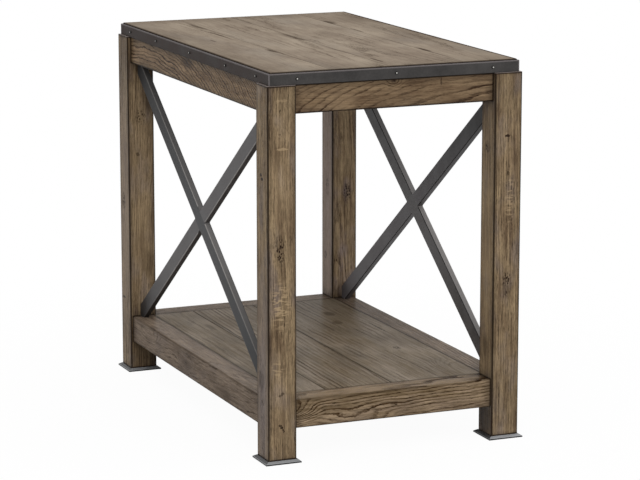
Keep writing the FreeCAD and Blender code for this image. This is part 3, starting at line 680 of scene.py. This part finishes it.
TOP_STAIN = ("#AD9F8E", "#8B7D6F", "#918A82", "#2A2018")
TOP_LOOKS = {
    "top_board_1": dict(heart=(-20, 46), ring=7.0, line=0.35, marks=[
        ("stain", (-108, -108, 610), (11, 34, 6), 0.7),
        ("crack", (-105, -116, 610), (3.5, 16, 4), 0.6),
        ("stain", (-112, 236, 610), (7, 60, 6), 0.5),
        ("crack", (-117, 110, 610), (3.0, 60, 4), 0.5),
        ("crack", (-153, 46, 610), (2.5, 16, 4), 0.5)]),
    "top_board_2": dict(heart=(50, 40), ring=8.0, line=0.4, marks=[
        ("crack", (-13, 40, 610), (4.0, 60, 4), 0.6),
        ("stain", (-15, 40, 610), (10, 80, 6), 0.3),
        ("crack", (-9, -130, 610), (4.0, 60, 4), 0.5)]),
    "top_board_3": dict(heart=(-30, 60), ring=8.0, line=0.3, marks=[
        ("crack", (-1, -270, 610), (4.0, 30, 4), 0.5),
        ("stain", (60, 60, 610), (20, 80, 6), 0.15)]),
    "top_board_4": dict(heart=(30, 60), ring=7.0, line=0.3, marks=[
        ("stain", (119, 203, 610), (14, 34, 6), 0.6),
        ("crack", (121, 85, 610), (3.0, 34, 4), 0.5),
        ("stain", (119, -186, 610), (7, 36, 5), 0.7),
        ("crack", (208, 0, 610), (8, 600, 6), 0.7)]),
}
boxes = [shown_box(node) for node in TOP_LOOKS]
top_outline = boxes[0][0], boxes[-1][1]
# In mm over the floor, how far up the edges and joints of the planks are black with glaze
joint_black = 608.6
for index, (node, looks) in enumerate(TOP_LOOKS.items()):
    dress(node, stained_oak(
        node, "y", stain=TOP_STAIN, seed=6.0 * index + 151, calm=0.9, stroke=1.8, fine=0.1,
        open_grain=0.06, cloud=(70, 70, 160), patch=1.2, streaky=0.3, coolness=0.3,
        roughness=0.55, specular=0.0, glaze=0.25, outline=top_outline,
        black_below=joint_black, **looks))

# Band: flat iron strips round the edge of the top, mitred at the corners, blackened, with a
# painted highlight along their arrises, and held by round-headed nails whose crowns carry a
# painted highlight.

# The left strip is given a darker, browner tone than the others
for side in ("front", "back", "left", "right"):
    node = f"{side}_band_strip"
    tone = "#38302D" if side == "left" else "#403E3D"
    dress(node, dark_iron("blackened iron", node, tone, "#6E6868", 41.0, highlight_strength=0.8,
                          roughness=0.6, metallic=0.0, grit=3.0, specular=0.12))


def nail_iron(node):
    """Iron nails: black heads with a painted highlight on their crowns, the outermost tenths of
    a millimetre."""
    material, put = new_material("nail iron")
    point = millimetres(put)
    depth = put("SeparateXYZ", (box_depth(put, point, *shown_box(node)),)).outputs
    outer = put("Math", (depth["X"], depth["Y"]), operation="MINIMUM")
    painted_glint = put("MapRange", (outer, 0.1, 0.45, 1.0, 0.0))
    colour = put("Mix", (painted_glint, linear("#0C0B0B"), linear("#C8C5C0")), data_type="RGBA")
    iron = put("BsdfPrincipled", {"Base Color": colour, "Roughness": 0.35, "Metallic": 0.2,
                                  "Specular IOR Level": 0.2})
    put("OutputMaterial", {"Surface": iron})
    return material


dress("band_nails", nail_iron("band_nails"))

# Room: a pale floor that keeps a soft shadow, a white surround and two plain soft lamps, and
# a camera with a long lens. Its place was found by fitting it to the edges of the table.


def seen_ray(put):
    """One for a ray that the camera sees, straight, mirrored or through something, and nought
    for a ray that brings light: the most of three outputs of the light path."""
    path = put("LightPath").outputs
    seen = put("Math", (path["Is Camera Ray"], path["Is Glossy Ray"]), operation="MAXIMUM")
    return put("Math", (seen, path["Is Transmission Ray"]), operation="MAXIMUM")


# Half the side of the floor, in metres
half_floor = 14.0
floor_mesh = bpy.data.meshes.new("floor")
floor_mesh.from_pydata([(-half_floor, -half_floor, 0), (half_floor, -half_floor, 0),
                        (half_floor, half_floor, 0), (-half_floor, half_floor, 0)],
                       [], [(0, 1, 2, 3)])
floor = bpy.data.objects.new("floor", floor_mesh)
bpy.context.collection.objects.link(floor)

# The camera sees white with a little shaded paint in it, which fades out away from the table
material, put = new_material("pale floor")
white = put("Emission", {"Color": linear("#FFFFFF"), "Strength": 1.0})
away = put("VectorMath", (put("TexCoord").outputs["Object"],), operation="LENGTH")
fade = put("MapRange", (away.outputs["Value"], 0.3, 1.1, 0.96, 1.0))
paint = put("BsdfDiffuse", {"Color": linear("#F3F3F3")})
shaded = put("MixShader", (fade, paint, white))
grey = put("BsdfDiffuse", {"Color": linear("#A0A0A0")})
ground = put("MixShader", (seen_ray(put), grey, shaded))
put("OutputMaterial", {"Surface": ground})
floor_mesh.materials.append(material)

# The surround is white to the camera, and lights the table a little less than that
scene = bpy.context.scene
scene.view_settings.view_transform = "Standard"
world = bpy.data.worlds.new("surround")
scene.world = world
world.use_nodes = True
world.node_tree.nodes.clear()
put = functools.partial(add, world.node_tree)
strength = put("MapRange", {"Value": seen_ray(put), "To Min": 0.76, "To Max": 1.0})
surround = put("Background", {"Color": linear("#FFFFFF"), "Strength": strength})
put("OutputWorld", {"Surface": surround})

# Two square lamps, with their places and sizes in metres and their power in watts
table_middle = Vector((0, 0, 0.3))
for name, place, size, power in (("key", (-1.2, -3.8, 2.6), 2.2, 65.0),
                                 ("fill", (3.2, -2.2, 2.2), 2.4, 30.0)):
    lamp = bpy.data.lights.new(name, "AREA")
    lamp.size = size
    lamp.energy = power
    holder = bpy.data.objects.new(name, lamp)
    bpy.context.collection.objects.link(holder)
    holder.location = place
    aim = table_middle - holder.location
    holder.rotation_euler = aim.to_track_quat("-Z", "Y").to_euler()

# The camera's lens in mm, its place in metres, and its turns in degrees
eye = bpy.data.cameras.new("eye")
eye.sensor_width = 36.0
eye.lens = 156.13
viewer = bpy.data.objects.new("viewer", eye)
bpy.context.collection.objects.link(viewer)
viewer.location = (-1.7502, -4.1893, 1.1903)
looks_down, looks_right = 11.414, 22.879
viewer.rotation_euler = (math.radians(90 - looks_down), 0, math.radians(-looks_right))
scene.camera = viewer
